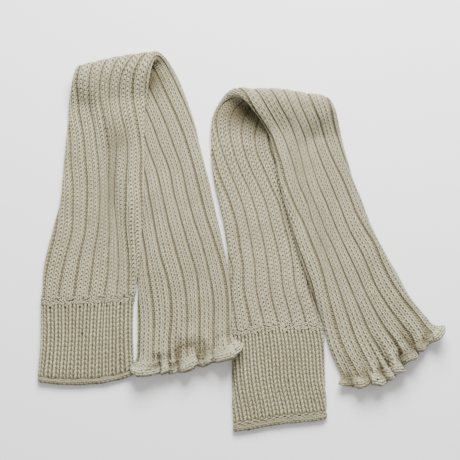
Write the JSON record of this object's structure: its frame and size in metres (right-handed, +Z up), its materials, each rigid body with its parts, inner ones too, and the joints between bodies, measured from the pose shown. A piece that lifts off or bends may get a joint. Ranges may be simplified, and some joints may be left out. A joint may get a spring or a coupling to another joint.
{
  "type": "pair of leg warmers",
  "caption": "Pair of ribbed knit leg warmers with close-ribbed cuffs and frilled ends, laid flat and folded over once side by side.",
  "frame": {"origin": "centre of the pair's bounding box, on the surface that it rests on", "axes": "+X to the viewer's right, from the left to the right leg warmer; +Y away from the viewer, towards the folds; +Z up"},
  "size_m": [0.4144, 0.396, 0.0338],
  "materials": {
    "cuff_knit": "matt undyed wool yarn, knitted",
    "leg_knit": "matt undyed wool yarn, knitted",
    "frill_knit": "matt undyed wool yarn, knitted"
  },
  "bodies": {
    "root": {"left_cuff": "cuff_knit", "left_leg": "leg_knit", "left_frill": "frill_knit", "right_cuff": "cuff_knit", "right_leg": "leg_knit", "right_frill": "frill_knit"}
  },
  "joints": []
}
